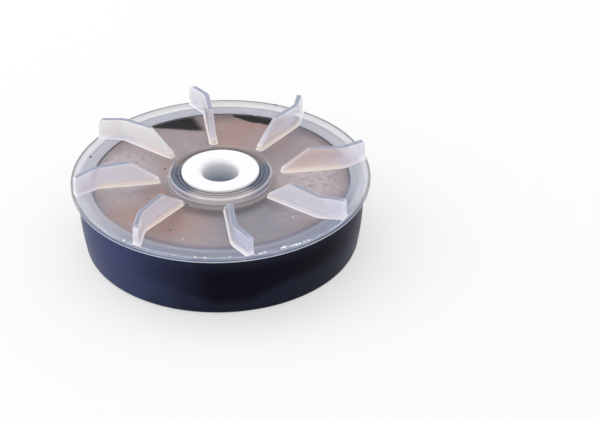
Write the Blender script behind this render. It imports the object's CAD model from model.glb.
# Looks of a magnetic-drive pump impeller, round the CAD frame. Metres, +Z up the bore.
import math
import random
import bpy
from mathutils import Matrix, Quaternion, Vector, noise


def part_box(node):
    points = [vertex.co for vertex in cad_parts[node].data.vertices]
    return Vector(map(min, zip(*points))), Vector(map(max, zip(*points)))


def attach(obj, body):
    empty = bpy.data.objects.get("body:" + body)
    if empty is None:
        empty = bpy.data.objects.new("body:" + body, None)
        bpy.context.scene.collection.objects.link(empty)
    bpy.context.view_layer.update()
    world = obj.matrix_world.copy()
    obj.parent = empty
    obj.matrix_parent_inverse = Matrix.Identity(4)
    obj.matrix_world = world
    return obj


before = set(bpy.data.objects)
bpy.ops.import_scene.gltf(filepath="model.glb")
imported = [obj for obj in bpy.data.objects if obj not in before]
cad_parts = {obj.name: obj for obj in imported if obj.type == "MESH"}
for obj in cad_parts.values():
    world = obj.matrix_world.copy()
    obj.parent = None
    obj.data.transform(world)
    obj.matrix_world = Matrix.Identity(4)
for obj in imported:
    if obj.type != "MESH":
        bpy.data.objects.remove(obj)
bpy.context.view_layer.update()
mm = 0.001
black = (0.0, 0.0, 0.0)
white = (1.0, 1.0, 1.0)
print("frame loaded:", sorted(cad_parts))

coverFlat = 19.5          # mm above the underside: top of the cover between the vanes
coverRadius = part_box("vane_cover")[1].x / mm
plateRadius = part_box("keeper_plate")[1].x / mm
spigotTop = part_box("cup")[1].z / mm


class Wire:
    # a shader socket that takes part in sums: each operator adds one Math node

    def __init__(self, board, socket):
        self.board = board
        self.socket = socket

    def sums(self, operation, *terms):
        return self.board.add("ShaderNodeMath", {"operation": operation}, dict(enumerate(terms)))

    def __add__(self, other):
        return self.sums("ADD", self, other)

    def __radd__(self, other):
        return self.sums("ADD", other, self)

    def __sub__(self, other):
        return self.sums("SUBTRACT", self, other)

    def __rsub__(self, other):
        return self.sums("SUBTRACT", other, self)

    def __mul__(self, other):
        return self.sums("MULTIPLY", self, other)

    def __rmul__(self, other):
        return self.sums("MULTIPLY", other, self)

    def __neg__(self):
        return self.sums("MULTIPLY", self, -1.0)

    def __abs__(self):
        return self.sums("ABSOLUTE", self)


def pick(sockets, key):
    for socket in sockets:
        if socket.identifier == key:
            return socket
    return sockets[key]


class Board:
    # a node tree, and the ways to add to it

    def __init__(self, tree):
        self.tree = tree
        self.tree.nodes.clear()

    def add(self, kind, settings=None, values=None, output=0):
        node = self.tree.nodes.new(kind)
        for setting, value in (settings or {}).items():
            setattr(node, setting, value)
        for key, value in (values or {}).items():
            self.feed(pick(node.inputs, key), value)
        return Wire(self, pick(node.outputs, output))

    def feed(self, socket, value):
        if isinstance(value, Wire):
            self.tree.links.new(value.socket, socket)
        elif socket.type == "RGBA":
            socket.default_value = (*value[:3], 1.0)
        else:
            socket.default_value = value

    def close(self, kind, shader):
        # joins the last shader to the tree's output
        output = self.tree.nodes.new(kind)
        self.tree.links.new(shader.socket, output.inputs["Surface"])

    def split(self, vector):
        return [self.add("ShaderNodeSeparateXYZ", None, {0: vector}, axis) for axis in "XYZ"]

    def rise(self, value, low, high):
        # 0 up to low, 1 from high on, smooth between
        settings = {"interpolation_type": "SMOOTHSTEP"}
        return self.add("ShaderNodeMapRange", settings, {"Value": value, "From Min": low, "From Max": high})

    def fall(self, value, low, high):
        return 1 - self.rise(value, low, high)

    def hill(self, value, start, full, fading, gone):
        return self.rise(value, start, full) * self.fall(value, fading, gone)

    def band(self, value, low, high, soft):
        return self.hill(value, low - soft, low + soft, high - soft, high + soft)

    def capped(self, value):
        # brings a sum of masks back under 1
        return self.rise(value, 0.0, 1.0)

    def slide(self, factor, first, second):
        # from one number to another
        return first + factor * (second - first)

    def vary(self, middle, noisy, spread):
        return middle + (noisy - 0.5) * spread

    def blend(self, factor, first, second):
        # from one colour to another
        settings = {"data_type": "RGBA", "clamp_factor": True}
        values = {"Factor_Float": factor, "A_Color": first, "B_Color": second}
        return self.add("ShaderNodeMix", settings, values, "Result_Color")


class Surface(Board):
    # a material; x, y, z and radius are the surface's place, in mm

    def __init__(self, name):
        self.material = bpy.data.materials.new(name)
        self.material.use_nodes = True
        super().__init__(self.material.node_tree)
        metres = self.add("ShaderNodeTexCoord", output="Object")
        self.place = self.add("ShaderNodeVectorMath", {"operation": "SCALE"}, {0: metres, "Scale": 1 / mm})
        self.x, self.y, self.z = self.split(self.place)
        self.radius = self.away(0.0, 0.0)

    def length(self, across, along):
        return across.sums("SQRT", across * across + along * along)

    def away(self, x, y):
        # distance from a point, seen from above
        return self.length(self.x - x, self.y - y)

    def spot(self, x, y, size, soft):
        return self.fall(self.away(x, y), size - soft, size + soft)

    def spots(self, places, softness):
        # all the patches of a list of (x, y, size) together
        patches = [self.spot(x, y, size, size * softness) for x, y, size in places]
        return sum(patches[1:], patches[0])

    def cloud(self, scale, detail, roughness, distortion=0.0):
        # scale is in blotches for each mm
        values = {"Vector": self.place, "Scale": scale, "Detail": detail,
                  "Roughness": roughness, "Distortion": distortion}
        return self.add("ShaderNodeTexNoise", {"noise_dimensions": "3D"}, values, "Fac")

    def bump(self, height, strength, depth):
        values = {"Height": height, "Strength": strength, "Distance": depth * mm}
        return self.add("ShaderNodeBump", None, values, "Normal")

    def finish(self, values):
        self.close("ShaderNodeOutputMaterial", self.add("ShaderNodeBsdfPrincipled", None, values))
        return self.material


def dress(piece, material):
    piece.data.materials.clear()
    piece.data.materials.append(material)
    piece.data.polygons.foreach_set("material_index", [0] * len(piece.data.polygons))
    piece.data.update()


# In the looks below, a pair named for a place is the stretch over which a mask rises or falls, and four
# numbers are a rise and then a fall. Heights are in mm above the cover's flat, reaches in mm from the axis
# and X, Y and Z in mm. Spots are x, y and size in mm, with the share of the size that is soft. Noise is
# blotches for each mm, detail, roughness and distortion. A bump is its strength, and its depth in mm.
coverLook = {
    # the plastic in a thick piece, and where its tints lie
    "milk": (0.84, 0.84, 0.94),
    "warmMilk": (0.79, 0.68, 0.655),
    "warmPlaces": ([(21.0, 5.5, 11.0)], 0.6),
    "whiteMilk": (0.97, 0.94, 0.95),
    "whitePlace": (-25.0, 20.0, 14.0, 8.0),          # x, y, size, softness in mm
    "blueMilk": (0.58, 0.61, 0.76),
    "bluePlaces": ([(8.0, -36.0, 6.0), (31.0, -17.0, 5.0)], 0.5),
    "milkHeight": (0.02, 0.15),
    "roughness": 0.30,
    "roughnessSpread": 0.12,
    "bump": (0.12, 0.12),
    "refraction": 1.49,
    "glowShare": 0.8,
    "glowDepth": 2.5,                    # mm that light travels inside the plastic
    "glowColours": (1.0, 0.80, 0.72),
    "letThrough": 0.85,                  # share of the light that reaches what lies below
    "clouds": (0.22, 3.0, 0.55),
    "cloudAlpha": 0.04,
    "flow": (0.9, 2.0, 0.6, 0.6),
    "uneven": (0.7, 3.0, 0.6),           # noise along the rim's top corner
    "unevenRange": (0.35, 0.65),

    # vanes
    "outside": (14.6, 15.2),             # reach at which the lip ends and the vanes may start
    "vaneHeight": (0.35, 0.75),
    "crownHeight": (0.5, 5.0),
    "crownAlpha": 0.46,                  # upper part of a vane's face
    "baseAlpha": 0.72,                   # lower part of a vane's face
    "outerAlpha": 0.72,                  # a vane's face over the rim
    "outerReach": (33.0, 36.0),
    "crest": (0.27, 0.30, 0.40),         # flat tops of the vanes, where the plastic bends the light
    "crestAlpha": 0.90,
    "crestHeight": (0.8, 1.2),
    "crestTilt": (0.86, 0.95),           # how far the surface faces up, from 0 to 1
    "noseTilt": (0.4, 0.6),              # rounded edges beside the crest
    "noseShare": 0.22,
    "foot": (1.0, 0.86, 0.79),           # warm band along the foot of each vane
    "footHeight": (0.02, 0.12, 0.8, 2.0),
    "footAlpha": 0.88,
    "footGlow": 0.07,
    "coolFoot": (0.88, 0.86, 0.94),
    "coolFeet": ([(25.0, -19.0, 12.0), (5.0, -29.0, 13.0), (-27.0, 23.0, 12.0)], 0.5),
    "coolReach": (31.5, 34.0),

    # lip and collar round the hub
    "lip": (0.74, 0.70, 0.68),
    "lipHeight": (0.1, 0.45),
    "lipAlpha": 0.85,
    "sideLip": (0.40, 0.40, 0.46),
    "sideLipX": (5.0, 11.0),             # mm to either side
    "farLipY": (-1.0, 9.0),              # mm: the far side of the lip shows what lies behind it
    "farLipAlpha": 0.15,
    "collar": (0.33, 0.29, 0.30),        # round the lip's foot
    "collarColourReach": (20.0, 22.0),
    "collarInner": (13.4, 13.9),
    "collarOuter": (14.1, 15.5),
    "collarHeight": (0.2, 0.5),
    "collarAlpha": 0.80,

    # disc, outwards from the plate's edge
    "plateShift": 1.6,                   # mm that the plate looks off centre through the plastic
    "holeShift": -1.8,                   # the same for the hole in the plate
    "plateNarrowing": 0.99,
    "discAlpha": 0.02,
    "frontY": (-26.0, -8.0),             # the front part ends here
    "litY": (-37.0, -4.0),               # the disc grows lighter here
    "litSlope": 0.25,
    "litSpread": 8.0,                    # mm that clouds move it by
    "shade": (0.12, 0.125, 0.20),        # round the plate's edge
    "shadeReach": (31.3, 33.6, 33.6, 34.3),
    "shadeAlpha": 0.72,
    "ring": (0.43, 0.47, 0.60),          # over the skirt and the cup's wall
    "ringReach": (33.5, 34.4),
    "ringAlpha": 0.50,
    "litRing": (0.60, 0.61, 0.68),
    "litRingAlpha": 0.64,
    "farRing": (0.60, 0.60, 0.61),       # the ring's outer part at the back
    "farRingReach": (35.0, 37.6, 38.2, 39.2),
    "farRingY": (0.0, 25.0),
    "overhang": (0.57, 0.58, 0.64),      # beyond the cup's wall, at the sides and the back
    "overhangReach": (36.4, 37.8),
    "overhangAlpha": 0.84,
    "skirt": (0.22, 0.19, 0.19),         # inner wall under the disc
    "skirtReach": (34.6, 35.0, 0.1),     # from, to, softness
    "skirtHeight": (-1.19, -1.15),
    "skirtAlpha": 0.6,
    "underside": (-1.22, -1.18, 0.01),   # clear, as only the top of the disc is painted: from, to, softness

    # rim; widths are in mm inwards from its side
    "corner": (0.25, 0.29, 0.38),
    "cornerWidth": (0.7, 0.35),
    "cornerAlpha": 0.80,
    "farCorner": (0.20, 0.21, 0.21),
    "farCornerWidth": (1.1, 0.4),
    "rimSide": (0.14, 0.18, 0.28),
    "rimSideWidth": (0.3, 0.1),
    "rimSideHeight": (-0.25, -0.05),
    "lowEdge": (0.80, 0.86, 1.0),        # bright line along the rim's lower corner
    "lowEdgeHeight": (-0.9, -0.65),
    "edgeLine": (0.93, 0.95, 1.0),       # bright line along the rim's top corner
    "lineCentre": (0.1, -0.35),
    "lineReach": (38.95, 39.15, 0.2),    # from, to, softness
    "lineHeight": (-0.2, -0.05),
    "lineWaver": 0.15,                   # mm
    "lineStrength": (0.45, 0.9),         # least and most, by the unevenness
    "lineAround": (0.06, 1.0),           # share at the back and at the front
    "lineAlpha": 0.95,
    "flashStrength": (0.3, 1.0),
    "flashSoftness": 0.5,
    # burrs of flash along the rim's top corner: angle in degrees, distance from the axis in mm, size in mm
    "flash": [(-100.7, 39.0, 0.40), (-97.0, 39.1, 0.30), (-87.5, 39.0, 0.40), (-76.0, 38.9, 0.35),
              (-75.1, 38.8, 0.35), (-74.0, 38.7, 0.40), (-72.8, 38.6, 0.35), (-71.5, 38.5, 0.30),
              (-67.0, 38.7, 0.35), (-66.0, 38.5, 0.45), (-65.0, 38.5, 0.45), (-63.8, 38.7, 0.40),
              (-62.5, 38.8, 0.40), (-61.0, 39.0, 0.40), (-59.5, 39.1, 0.35), (-57.5, 39.1, 0.35),
              (-55.5, 39.2, 0.30), (-112.0, 39.1, 0.30), (-131.0, 38.9, 0.30)],

    # where the surface turns away
    "facingBlend": 0.5,
    "outline": (0.30, 0.31, 0.36),
    "outlineFacing": (0.86, 0.97),
    "outlineHeight": (-0.4, -0.1),
    "outlineStrength": 0.7,
    "outlineAlpha": 0.3,
    "lipOutlineLoss": 0.6,
    "farLine": (0.04, 0.03, 0.03),       # the same at the far side of the lip
    "farLineStrength": 1.4,

    # specks, on the top only
    "topHeight": (-0.5, -0.3),
    "speckColour": (0.03, 0.02, 0.015),
    "speckAlpha": 0.9,
    "specks": ([(-34.9, 12.2, 0.42), (-26.0, 25.0, 0.30), (-14.8, 5.0, 0.38), (-9.0, -13.4, 0.42),
                (-19.4, -9.8, 0.28), (-13.6, -25.4, 0.34), (-0.6, 31.8, 0.28), (15.9, 36.3, 0.55)], 0.3),
    "paleSpeckAlpha": 0.5,
    "paleSpecks": ([(-10.3, -29.8, 0.35), (18.6, -21.2, 0.40), (14.6, -12.6, 0.30), (10.0, 30.9, 0.22)], 0.4),
}


class Parts:
    # the named masks of one surface
    pass


def findPlastic(board, look):
    at = Parts()
    at.above = board.z - coverFlat
    at.clouds = board.cloud(*look["clouds"])
    at.flow = board.cloud(*look["flow"])
    at.uneven = board.rise(board.cloud(*look["uneven"]), *look["unevenRange"])
    at.outside = board.rise(board.radius, *look["outside"])
    at.front = board.fall(board.y, *look["frontY"])
    return at


def findVanes(board, look, at):
    tilt = board.split(board.add("ShaderNodeTexCoord", output="Normal"))[2]
    high = board.rise(at.above, *look["crestHeight"])
    at.vane = board.rise(at.above, *look["vaneHeight"]) * at.outside
    at.foot = board.hill(at.above, *look["footHeight"]) * at.outside
    at.crest = board.rise(tilt, *look["crestTilt"]) * high * at.outside
    at.nose = board.rise(tilt, *look["noseTilt"]) * high * at.outside * look["noseShare"]


def findHub(board, look, at):
    at.lip = (1 - at.outside) * board.rise(at.above, *look["lipHeight"])
    at.farLip = board.rise(board.y, *look["farLipY"])
    at.sideLip = board.rise(abs(board.x), *look["sideLipX"])
    collar = board.fall(board.away(0.0, look["holeShift"]), *look["collarOuter"])
    collar = collar * board.rise(board.radius, *look["collarInner"])
    at.collar = collar * board.fall(at.above, *look["collarHeight"])


def findDisc(board, look, at):
    fromPlate = board.length(board.x * look["plateNarrowing"], board.y + look["plateShift"])
    slant = board.y - board.x * look["litSlope"]
    at.lit = board.rise(board.vary(slant, at.clouds, look["litSpread"]), *look["litY"])
    at.shade = board.hill(fromPlate, *look["shadeReach"]) * (1 - at.lit)
    at.ring = board.rise(fromPlate, *look["ringReach"])
    at.farRing = board.hill(board.radius, *look["farRingReach"]) * board.rise(board.y, *look["farRingY"])
    at.overhang = board.rise(board.radius, *look["overhangReach"]) * (1 - at.front)
    at.underside = board.band(at.above, *look["underside"])
    at.skirt = board.fall(at.above, *look["skirtHeight"]) * board.band(board.radius, *look["skirtReach"])


def findRim(board, look, at):
    def inwards(far, near):
        return board.rise(board.radius, coverRadius - far, coverRadius - near)

    at.corner = inwards(*look["cornerWidth"])
    at.farCorner = inwards(*look["farCornerWidth"]) * (1 - at.front)
    at.rimSide = inwards(*look["rimSideWidth"]) * board.fall(at.above, *look["rimSideHeight"])
    at.lowEdge = at.corner * board.fall(at.above, *look["lowEdgeHeight"])
    reach = board.vary(board.away(*look["lineCentre"]), at.uneven, look["lineWaver"])
    line = board.band(reach, *look["lineReach"]) * board.slide(at.uneven, *look["lineStrength"])
    line = line * board.slide(at.front, *look["lineAround"])
    burrs = [(math.cos(math.radians(turn)) * out, math.sin(math.radians(turn)) * out, size)
             for turn, out, size in look["flash"]]
    line = line + board.spots(burrs, look["flashSoftness"]) * board.slide(at.uneven, *look["flashStrength"])
    at.line = line * board.rise(at.above, *look["lineHeight"])


def findMarks(board, look, at):
    facing = board.add("ShaderNodeLayerWeight", None, {"Blend": look["facingBlend"]}, "Facing")
    outline = board.rise(facing, *look["outlineFacing"]) * board.rise(at.above, *look["outlineHeight"])
    outline = outline * look["outlineStrength"]
    at.farLine = outline * at.lip * at.farLip
    at.outline = outline * (1 - at.lip * look["lipOutlineLoss"])
    top = board.rise(at.above, *look["topHeight"])
    at.specks = board.spots(*look["specks"]) * top
    at.paleSpecks = board.spots(*look["paleSpecks"]) * top


def coverColour(board, look, at):
    colour = board.blend(at.lit, look["ring"], look["litRing"])
    colour = board.blend(at.overhang, colour, look["overhang"])
    colour = board.blend(at.farRing, colour, look["farRing"])
    colour = board.blend(at.ring, look["shade"], colour)
    colour = board.blend(at.corner * at.front, colour, look["corner"])
    colour = board.blend(at.farCorner, colour, look["farCorner"])
    colour = board.blend(at.rimSide, colour, look["rimSide"])
    colour = board.blend(at.line, colour, look["edgeLine"])
    colour = board.blend(at.lowEdge, colour, look["lowEdge"])
    colour = board.blend(board.fall(board.radius, *look["collarColourReach"]), colour, look["collar"])
    colour = board.blend(at.skirt, colour, look["skirt"])
    milk = board.blend(board.spots(*look["warmPlaces"]), look["milk"], look["warmMilk"])
    milk = board.blend(board.spot(*look["whitePlace"]), milk, look["whiteMilk"])
    milk = board.blend(board.spots(*look["bluePlaces"]), milk, look["blueMilk"])
    colour = board.blend(board.rise(at.above, *look["milkHeight"]), colour, milk)
    cool = board.spots(*look["coolFeet"]) + board.rise(board.radius, *look["coolReach"])
    colour = board.blend(at.foot, colour, board.blend(cool, look["foot"], look["coolFoot"]))
    colour = board.blend(at.crest + at.nose, colour, look["crest"])
    colour = board.blend(at.lip, colour, board.blend(at.sideLip, look["lip"], look["sideLip"]))
    colour = board.blend(at.outline, colour, look["outline"])
    colour = board.blend(at.farLine * look["farLineStrength"], colour, look["farLine"])
    colour = board.blend(at.specks, colour, look["speckColour"])
    return board.blend(at.paleSpecks, colour, look["edgeLine"])


def coverAlpha(board, look, at):
    alpha = board.slide(at.shade, look["discAlpha"], look["shadeAlpha"])
    alpha = board.slide(at.ring, alpha, board.slide(at.lit, look["ringAlpha"], look["litRingAlpha"]))
    alpha = board.slide(at.overhang, alpha, look["overhangAlpha"])
    alpha = board.slide(board.capped(at.line), alpha, look["lineAlpha"])
    corners = at.corner * at.front + at.farCorner * (1 - at.front)
    alpha = board.slide(corners, alpha, look["cornerAlpha"])
    face = board.slide(board.rise(at.above, *look["crownHeight"]), look["baseAlpha"], look["crownAlpha"])
    paler = board.rise(board.radius, *look["outerReach"]) + board.spot(*look["whitePlace"])
    face = board.slide(board.capped(paler), face, look["outerAlpha"])
    alpha = board.slide(at.vane, alpha, face)
    alpha = board.slide(at.foot, alpha, look["footAlpha"])
    alpha = board.slide(at.crest, alpha, look["crestAlpha"])
    alpha = board.slide(at.collar, alpha, look["collarAlpha"]) + at.skirt * look["skirtAlpha"]
    alpha = board.slide(at.lip, alpha, board.slide(at.farLip, look["lipAlpha"], look["farLipAlpha"]))
    alpha = board.vary(alpha, at.clouds, look["cloudAlpha"]) + at.outline * look["outlineAlpha"]
    alpha = alpha * (1 - at.underside) + at.specks * look["speckAlpha"]
    alpha = alpha + at.paleSpecks * look["paleSpeckAlpha"]
    # most of the light goes through to what lies below
    shadowRay = board.add("ShaderNodeLightPath", output="Is Shadow Ray")
    diffuseRay = board.add("ShaderNodeLightPath", output="Is Diffuse Ray")
    return alpha * (1 - (shadowRay + diffuseRay) * look["letThrough"])


def coverMaterial(look):
    board = Surface("coverPlastic")
    at = findPlastic(board, look)
    for find in (findVanes, findHub, findDisc, findRim, findMarks):
        find(board, look, at)
    return board.finish({
        "Base Color": coverColour(board, look, at),
        "Roughness": board.vary(look["roughness"], at.flow, look["roughnessSpread"]),
        "Alpha": coverAlpha(board, look, at),
        "Normal": board.bump(at.flow + at.clouds, *look["bump"]),
        "IOR": look["refraction"],
        "Subsurface Weight": look["glowShare"],
        "Subsurface Radius": look["glowColours"],
        "Subsurface Scale": look["glowDepth"] * mm,
        "Emission Color": board.blend(at.foot, black, look["foot"]),
        "Emission Strength": look["footGlow"],
    })


cupLook = {
    "navy": (0.0035, 0.003, 0.0085),
    "bloom": (0.050, 0.063, 0.145),      # pale film on the wall, mostly on one side
    "bloomLeft": (2.0, 36.0),            # mm to the left of the axis, and to the right
    "bloomRight": (26.0, 42.0),
    "bloomRightShare": 0.26,
    "bloomSpread": 12.0,                 # mm that the haze moves it by
    "scuff": (0.013, 0.015, 0.030),      # fainter film along the wall's top and foot
    "scuffFoot": 4.0,                    # mm up the wall that it reaches, at the x below
    "scuffMiddle": 1.0,
    "scuffClimb": 4.5,                   # mm that it climbs over the next stretch to either side
    "scuffSides": (2.0, 18.0),
    "scuffSpread": 3.0,
    "scuffEdge": (-1.6, 1.8),            # mm below and above that height
    "scuffTopZ": (13.0, 18.0),
    "spigot": (0.155, 0.175, 0.235),
    "spigotDrop": (0.6, 0.35),           # mm below its top at which its colour starts and is full
    "warmSpigot": (0.27, 0.235, 0.23),
    "warmY": (2.0, 5.0),
    "frontSpigot": (0.46, 0.42, 0.43),
    "frontY": (2.0, 6.5),                # mm forwards of the axis
    "frontNarrowing": 0.6,
    "spigotReach": (10.5, 10.8),
    "groove": (0.62, 0.62, 0.66),
    "grooveReach": (11.5, 11.9, 0.05),
    "grooveStrength": 0.5,
    "grooveLoss": 0.4,                   # how much weaker it is towards the back
    "grooveY": (-9.0, -4.0),
    "rebate": (0.42, 0.42, 0.50),        # inside of the wall, behind the cover's skirt
    "rebateReach": (34.4, 34.6, 37.3, 37.5),
    "rebateZ": (14.0, 14.1),
    "ringPitch": 2.4,                    # fine turned rings for each mm, on the spigot's top
    "ringSwing": (0.85, 0.15),           # middle and swing of the top's colour over the rings
    "speckColour": (0.004, 0.004, 0.005),
    "specks": ([(-11.7, -0.9, 0.34)], 0.3),
    "haze": (0.12, 4.0, 0.6),
    "grain": (6.0, 2.0, 0.5),
    "roughness": 0.34,
    "roughnessSpread": 0.16,
    "bump": (0.08, 0.05),
    "shine": 0.04,
}


def wallColour(board, look, haze):
    bloom = board.rise(board.vary(-board.x, haze, look["bloomSpread"]), *look["bloomLeft"])
    bloom = bloom + board.rise(board.x, *look["bloomRight"]) * look["bloomRightShare"]
    sides = board.rise(abs(board.x - look["scuffMiddle"]), *look["scuffSides"])
    scuffHeight = board.vary(look["scuffFoot"] + sides * look["scuffClimb"], haze, look["scuffSpread"])
    bare = board.rise(board.z - scuffHeight, *look["scuffEdge"]) * board.fall(board.z, *look["scuffTopZ"])
    colour = board.blend(1 - bare, look["navy"], look["scuff"])
    return board.blend(bloom, colour, look["bloom"])


def spigotColour(board, look):
    colour = board.blend(board.rise(board.y, *look["warmY"]), look["spigot"], look["warmSpigot"])
    forwards = -board.y - abs(board.x) * look["frontNarrowing"]
    colour = board.blend(board.rise(forwards, *look["frontY"]), colour, look["frontSpigot"])
    colour = board.blend(board.rise(board.radius, *look["spigotReach"]), look["navy"], colour)
    strength = look["grooveStrength"] - board.rise(board.y, *look["grooveY"]) * look["grooveLoss"]
    return board.blend(board.band(board.radius, *look["grooveReach"]) * strength, colour, look["groove"])


def cupMaterial(look):
    board = Surface("cupPlastic")
    haze = board.cloud(*look["haze"])
    rings = board.radius.sums("SINE", board.radius * (look["ringPitch"] * 2 * math.pi))
    start, full = look["spigotDrop"]
    top = board.rise(board.z, spigotTop - start, spigotTop - full)
    rebate = board.hill(board.radius, *look["rebateReach"]) * board.rise(board.z, *look["rebateZ"])
    colour = board.blend(rebate, wallColour(board, look, haze), look["rebate"])
    middle, swing = look["ringSwing"]
    colour = board.blend(top * (middle + rings * swing), colour, spigotColour(board, look))
    colour = board.blend(board.spots(*look["specks"]) * top, colour, look["speckColour"])
    return board.finish({
        "Base Color": colour,
        "Roughness": board.vary(look["roughness"], haze, look["roughnessSpread"]),
        "Normal": board.bump(board.cloud(*look["grain"]), *look["bump"]),
        "Specular IOR Level": look["shine"],
    })


bushLook = {
    "white": (0.86, 0.86, 0.87),
    "shade": (0.34, 0.40, 0.54),         # down the bore
    "shadeReach": (5.0, 6.0),
    "shadeZ": (12.0, 21.0),
    "clouds": (0.5, 3.0, 0.6),
    "grain": (4.0, 2.0, 0.5),
    "roughness": 0.38,
    "roughnessSpread": 0.1,
    "bump": (0.05, 0.04),
}


def bushMaterial(look):
    board = Surface("bushPlastic")
    inside = board.fall(board.radius, *look["shadeReach"]) * board.fall(board.z, *look["shadeZ"])
    return board.finish({
        "Base Color": board.blend(inside, look["white"], look["shade"]),
        "Roughness": board.vary(look["roughness"], board.cloud(*look["clouds"]), look["roughnessSpread"]),
        "Normal": board.bump(board.cloud(*look["grain"]), *look["bump"]),
    })


plateLook = {
    "steel": (0.36, 0.30, 0.305),
    "cool": (0.25, 0.25, 0.29),
    "coolRange": (0.4, 0.65),
    "coolStrength": 0.5,
    "copper": (0.39, 0.24, 0.205),
    "pale": (0.58, 0.52, 0.55),
    # tints: x, y, size in mm, strength
    "tints": {
        "cool": [(9.0, -22.0, 12.0, 0.9), (14.0, -12.0, 7.0, 0.7), (8.0, 26.0, 4.5, 0.5),
                 (27.0, -12.0, 6.0, 0.5)],
        "copper": [(4.0, 27.0, 6.5, 0.8), (12.0, 29.0, 5.0, 0.7), (-13.0, -20.0, 7.0, 0.7),
                   (-24.0, -15.0, 6.0, 0.6), (-15.0, -6.0, 5.0, 0.6), (4.0, 19.0, 5.0, 0.6),
                   (-10.0, 7.0, 6.0, 0.3)],
        "pale": [(-26.0, 10.0, 9.0, 0.7), (-27.0, -5.0, 6.0, 0.5), (24.0, -1.5, 8.0, 1.0),
                 (19.0, -18.0, 5.0, 0.4)],
    },
    "tintSoftness": 0.7,
    "tintRange": (0.2, 0.6),
    # two dark stains at the back: one cut off straight, one a crescent
    "stain": (0.022, 0.020, 0.022),
    "stainRange": (0.0, 0.8),
    "ragged": 2.0,                       # mm of unevenness, of which edges and ends take a share
    "edgeShare": 0.3,
    "endShare": 0.6,
    "straightY": (23.7, 26.1),
    "straightSlope": 0.19,
    "straightX": (-23.0, -4.6, 3.0),     # from, to, softness
    "straightLean": 0.4,                 # how its ends lean, about the y below
    "straightMiddle": 27.0,
    "crescentReach": (32.6, 34.0),
    "crescentX": (4.0, 15.0, 1.2),
    "crescentY": (20.0, 24.0),
    "crescentWiden": 2.4,                # mm that it grows inwards over the x below
    "crescentWidenX": (2.5, 9.5),
    "edge": (0.19, 0.175, 0.20),
    "edgeWidth": (1.0, 0.1),             # mm inwards from the plate's side
    "edgeStrength": 0.4,
    "clouds": (0.10, 4.0, 0.55, 0.4),
    "mottle": (0.6, 5.0, 0.6, 0.2),
    "metal": 0.55,
    "roughness": 0.42,
    "roughnessSpread": 0.3,
    "stainRoughness": 0.3,
    "shine": 0.1,
    "bump": (0.1, 0.1),
}


def plateStains(board, look, mottle):
    ragged = (mottle - 0.5) * look["ragged"]
    back = board.y + board.x * look["straightSlope"] + ragged * look["edgeShare"]
    along = board.x + (board.y - look["straightMiddle"]) * look["straightLean"] + ragged * look["endShare"]
    straight = board.rise(back, *look["straightY"]) * board.band(along, *look["straightX"])
    widened = board.rise(board.x, *look["crescentWidenX"]) * look["crescentWiden"]
    reach = board.radius + ragged * look["edgeShare"] + widened
    crescent = board.rise(reach, *look["crescentReach"]) * board.band(board.x, *look["crescentX"])
    crescent = crescent * board.rise(board.y, *look["crescentY"])
    return board.rise(straight + crescent, *look["stainRange"])


def plateMaterial(look):
    board = Surface("plateSteel")
    clouds = board.cloud(*look["clouds"])
    mottle = board.cloud(*look["mottle"])
    cool = board.rise(clouds, *look["coolRange"]) * look["coolStrength"]
    colour = board.blend(cool, look["steel"], look["cool"])
    for tint, places in look["tints"].items():
        for x, y, size, strength in places:
            patch = board.spot(x, y, size, size * look["tintSoftness"]) * strength
            colour = board.blend(patch * board.rise(mottle, *look["tintRange"]), colour, look[tint])
    stained = plateStains(board, look, mottle)
    colour = board.blend(stained, colour, look["stain"])
    far, near = look["edgeWidth"]
    edge = board.rise(board.radius, plateRadius - far, plateRadius - near) * look["edgeStrength"]
    roughness = board.vary(look["roughness"], mottle, look["roughnessSpread"])
    return board.finish({
        "Base Color": board.blend(edge, colour, look["edge"]),
        "Metallic": look["metal"] * (1 - stained),
        "Roughness": roughness + stained * look["stainRoughness"],
        "Specular IOR Level": look["shine"],
        "Normal": board.bump(mottle, *look["bump"]),
    })


magnetLook = {
    "dark": (0.035, 0.035, 0.038),
    "pale": (0.075, 0.075, 0.08),
    "grains": (5.0, 4.0, 0.7),
    "roughness": 0.55,
    "roughnessSpread": 0.3,
    "bump": (0.2, 0.05),
}


def magnetMaterial(look):
    board = Surface("magnetFerrite")
    grains = board.cloud(*look["grains"])
    return board.finish({
        "Base Color": board.blend(grains, look["dark"], look["pale"]),
        "Roughness": board.vary(look["roughness"], grains, look["roughnessSpread"]),
        "Normal": board.bump(grains, *look["bump"]),
    })


finishes = {
    "vane_cover": coverMaterial(coverLook),
    "cup": cupMaterial(cupLook),
    "bush": bushMaterial(bushLook),
    "keeper_plate": plateMaterial(plateLook),
    "ring_magnet": magnetMaterial(magnetLook),
}
for nodeName, finish in finishes.items():
    dress(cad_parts[nodeName], finish)
print("materials on", len(finishes), "CAD nodes")


weldInfo = {
    "radius": 38.36,          # mm, in the corner between the cup's wall and the cover's underside
    "height": 18.10,
    "thin": 0.07,             # the bead's half thickness where it is thin, and where it is thick
    "thick": 0.19,
    "steps": 720,
    "sides": 8,
    "seed": 4,
    "shift": 10,              # how far the seed moves the noise
    "waves": 9,               # how fast the bead's thickness changes along it
    "fineWaves": 31,
    "fineShare": 0.6,
    "waverGain": 1.6,
    "waverBase": 0.35,
    "back": (0.33, 0.37, 0.47),
    "front": (0.80, 0.84, 0.94),
    "palest": (0.98, 0.98, 1.0),
    "frontY": (-28.0, -8.0),  # mm at which the pale front part ends
    "glow": (0.62, 0.78, 1.0),
    "glowStrength": 0.3,
    "clouds": (1.5, 3.0, 0.6),
    "roughness": 0.25,
    "roughnessRise": 0.2,
    "bump": (0.2, 0.05),
}


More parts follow.
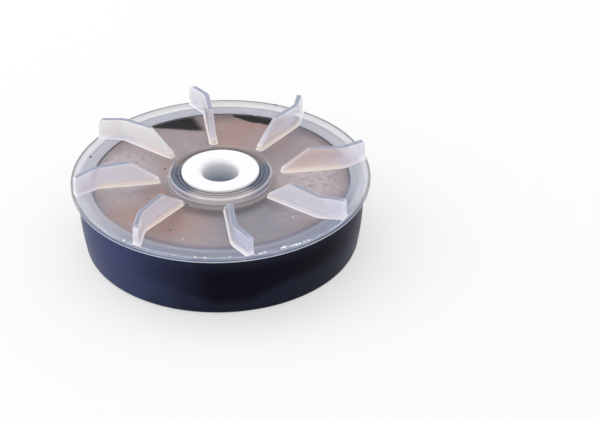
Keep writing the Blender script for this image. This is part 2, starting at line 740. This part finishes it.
def weldMaterial(info):
    board = Surface("weldFlash")
    clouds = board.cloud(*info["clouds"])
    front = board.fall(board.y, *info["frontY"])
    pale = board.blend(clouds, info["front"], info["palest"])
    return board.finish({
        "Base Color": board.blend(front, info["back"], pale),
        "Roughness": info["roughness"] + clouds * info["roughnessRise"],
        "Normal": board.bump(clouds, *info["bump"]),
        "Emission Color": board.blend(front, black, info["glow"]),
        "Emission Strength": info["glowStrength"],
    })


def meshPiece(name, points, faces, smooth=True):
    mesh = bpy.data.meshes.new(name)
    mesh.from_pydata([tuple(point) for point in points], [], faces)
    mesh.validate()
    mesh.polygons.foreach_set("use_smooth", [smooth] * len(mesh.polygons))
    mesh.update()
    piece = bpy.data.objects.new(name, mesh)
    bpy.context.scene.collection.objects.link(piece)
    return piece


def makeWeld(info):
    random.seed(info["seed"])
    shift = Vector((random.random() * info["shift"], random.random() * info["shift"], 0))
    points, faces = [], []
    count, sides = info["steps"], info["sides"]
    for step in range(count):
        turn = 2 * math.pi * step / count
        outward = Vector((math.cos(turn), math.sin(turn), 0))
        waver = noise.noise(outward * info["waves"] + shift)
        waver += info["fineShare"] * noise.noise(outward * info["fineWaves"] + shift)
        share = min(max(waver * info["waverGain"] + info["waverBase"], 0), 1)
        half = info["thin"] + (info["thick"] - info["thin"]) * share
        centre = outward * info["radius"] + Vector((0, 0, info["height"]))
        for side in range(sides):
            lean = 2 * math.pi * side / sides
            points.append((centre + half * (math.cos(lean) * outward + Vector((0, 0, math.sin(lean))))) * mm)
    for step in range(count):
        for side in range(sides):
            here, there = step * sides, (step + 1) % count * sides
            following = (side + 1) % sides
            faces.append((here + side, there + side, there + following, here + following))
    return meshPiece("weldFlash", points, faces)


weld = makeWeld(weldInfo)
dress(weld, weldMaterial(weldInfo))
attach(weld, "root")
print("weld flash made")


floorInfo = {
    "size": 3.0,              # metres
    "colour": (0.86, 0.86, 0.86),
    "glow": 0.55,             # how much of plain white the camera and reflections see in it
}


def makeFloor(info):
    half = info["size"] / 2
    corners = [(-half, -half, 0), (half, -half, 0), (half, half, 0), (-half, half, 0)]
    floor = meshPiece("floor", corners, [(0, 1, 2, 3)], smooth=False)
    paper = bpy.data.materials.new("floorPaper")
    paper.use_nodes = True
    board = Board(paper.node_tree)
    cameraRay = board.add("ShaderNodeLightPath", output="Is Camera Ray")
    glossyRay = board.add("ShaderNodeLightPath", output="Is Glossy Ray")
    plain = board.add("ShaderNodeBsdfDiffuse", None, {"Color": info["colour"]})
    glowing = board.add("ShaderNodeEmission", None, {"Color": white, "Strength": 1.0})
    shown = (cameraRay + glossyRay) * info["glow"]
    shader = board.add("ShaderNodeMixShader", None, {0: shown, 1: plain, 2: glowing})
    board.close("ShaderNodeOutputMaterial", shader)
    dress(floor, paper)


makeFloor(floorInfo)

lampInfo = {
    # name: place in metres, aim, size, power in watts, colour
    "leftBox": ((-0.75, 0.25, 0.55), (0, 0, 0.01), (0.7, 0.7), 1.9, (1.0, 0.99, 0.97)),
    "topBox": ((-0.10, 0.45, 0.95), (0, 0, 0.01), (0.9, 0.6), 1.5, (1.0, 1.0, 1.0)),
    "rightBox": ((0.85, 0.35, 0.30), (0, 0, 0.01), (0.5, 0.4), 0.25, (1.0, 0.96, 0.97)),
}


def makeLamps(lamps):
    for name, (place, aim, size, power, colour) in lamps.items():
        lamp = bpy.data.lights.new(name, "AREA")
        lamp.shape = "RECTANGLE"
        lamp.size, lamp.size_y = size
        lamp.energy = power
        lamp.color = colour
        piece = bpy.data.objects.new(name, lamp)
        piece.location = place
        piece.rotation_euler = (Vector(aim) - Vector(place)).to_track_quat("-Z", "Y").to_euler()
        bpy.context.scene.collection.objects.link(piece)


worldInfo = {
    "strength": 0.98,
    "around": (1.0, 1.0, 1.0),
    "dim": (0.74, 0.74, 0.78),       # to the right of the camera and behind it
    "dimToward": (0.8, 0.6),         # how far right and how far back it lies
    "dimRange": (0.0, 0.9),
    "shown": (1.0, 1.0, 1.0),        # what the camera sees, also through glass
}


def makeWorld(info):
    world = bpy.data.worlds.new("studio")
    bpy.context.scene.world = world
    world.use_nodes = True
    board = Board(world.node_tree)
    x, y, _ = board.split(board.add("ShaderNodeTexCoord", output="Generated"))
    right, back = info["dimToward"]
    dimness = board.rise(x * right - y * back, *info["dimRange"])
    colour = board.blend(dimness, info["around"], info["dim"])
    seen = board.add("ShaderNodeLightPath", output="Is Camera Ray")
    glassy = board.add("ShaderNodeLightPath", output="Is Transmission Ray")
    plain = board.add("ShaderNodeBackground", None, {"Color": colour, "Strength": info["strength"]})
    shown = board.add("ShaderNodeBackground", None, {"Color": info["shown"], "Strength": 1.0})
    mixed = board.add("ShaderNodeMixShader", None, {0: seen + glassy, 1: plain, 2: shown})
    board.close("ShaderNodeOutputWorld", mixed)


makeLamps(lampInfo)
makeWorld(worldInfo)
print("lights made")

cameraInfo = {
    "place": (0.0, -0.74816, 0.48973),
    "aim": (0.0210, 0.0, 0.00773),
    "roll": -1.067,           # degrees
    "lens": 198.8,
    "sensor": 36.0,
    "sight": 10.0,            # metres
}


def makeCamera(info):
    camera = bpy.data.cameras.new("camera")
    camera.lens = info["lens"]
    camera.sensor_width = info["sensor"]
    camera.clip_end = info["sight"]
    piece = bpy.data.objects.new("camera", camera)
    piece.location = info["place"]
    look = (Vector(info["aim"]) - Vector(info["place"])).to_track_quat("-Z", "Y")
    piece.rotation_mode = "QUATERNION"
    piece.rotation_quaternion = look @ Quaternion((0, 0, 1), math.radians(info["roll"]))
    bpy.context.scene.collection.objects.link(piece)
    bpy.context.scene.camera = piece


makeCamera(cameraInfo)
bpy.context.scene.view_settings.view_transform = "Standard"
print("camera set")
